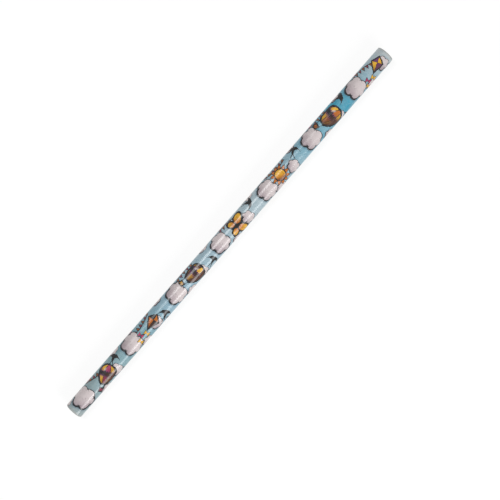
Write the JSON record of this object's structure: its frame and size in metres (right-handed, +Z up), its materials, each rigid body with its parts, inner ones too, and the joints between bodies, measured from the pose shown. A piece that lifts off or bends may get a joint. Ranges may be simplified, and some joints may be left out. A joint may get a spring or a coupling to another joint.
{
  "type": "pencil",
  "caption": "Round wooden pencil, not yet sharpened: a graphite lead glued between grooved slats, under a white coat and a glossy printed film with square-cut ends.",
  "frame": {"origin": "middle of the pencil's length, on the surface that it lies on, straight below its axis", "axes": "+X along the pencil, +Z up, +Y towards the side low on which the film's lap lies"},
  "size_m": [0.1778, 0.007, 0.007],
  "materials": {
    "graphite": "fired graphite and clay, dark grey with a dull metallic shine where it was sawn",
    "glue": "dried wood glue, pale straw, slightly clear",
    "wood": "bare sawn end grain, pale and fine",
    "white_coat": "white base coat, satin",
    "printed_film": "clear gloss over a drawn sky-blue print"
  },
  "bodies": {
    "root": {"lead": "graphite", "glue_bond": "glue", "casing_upper": "wood", "casing_lower": "wood", "base_coat": "white_coat", "printed_wrap": "printed_film"}
  },
  "joints": []
}
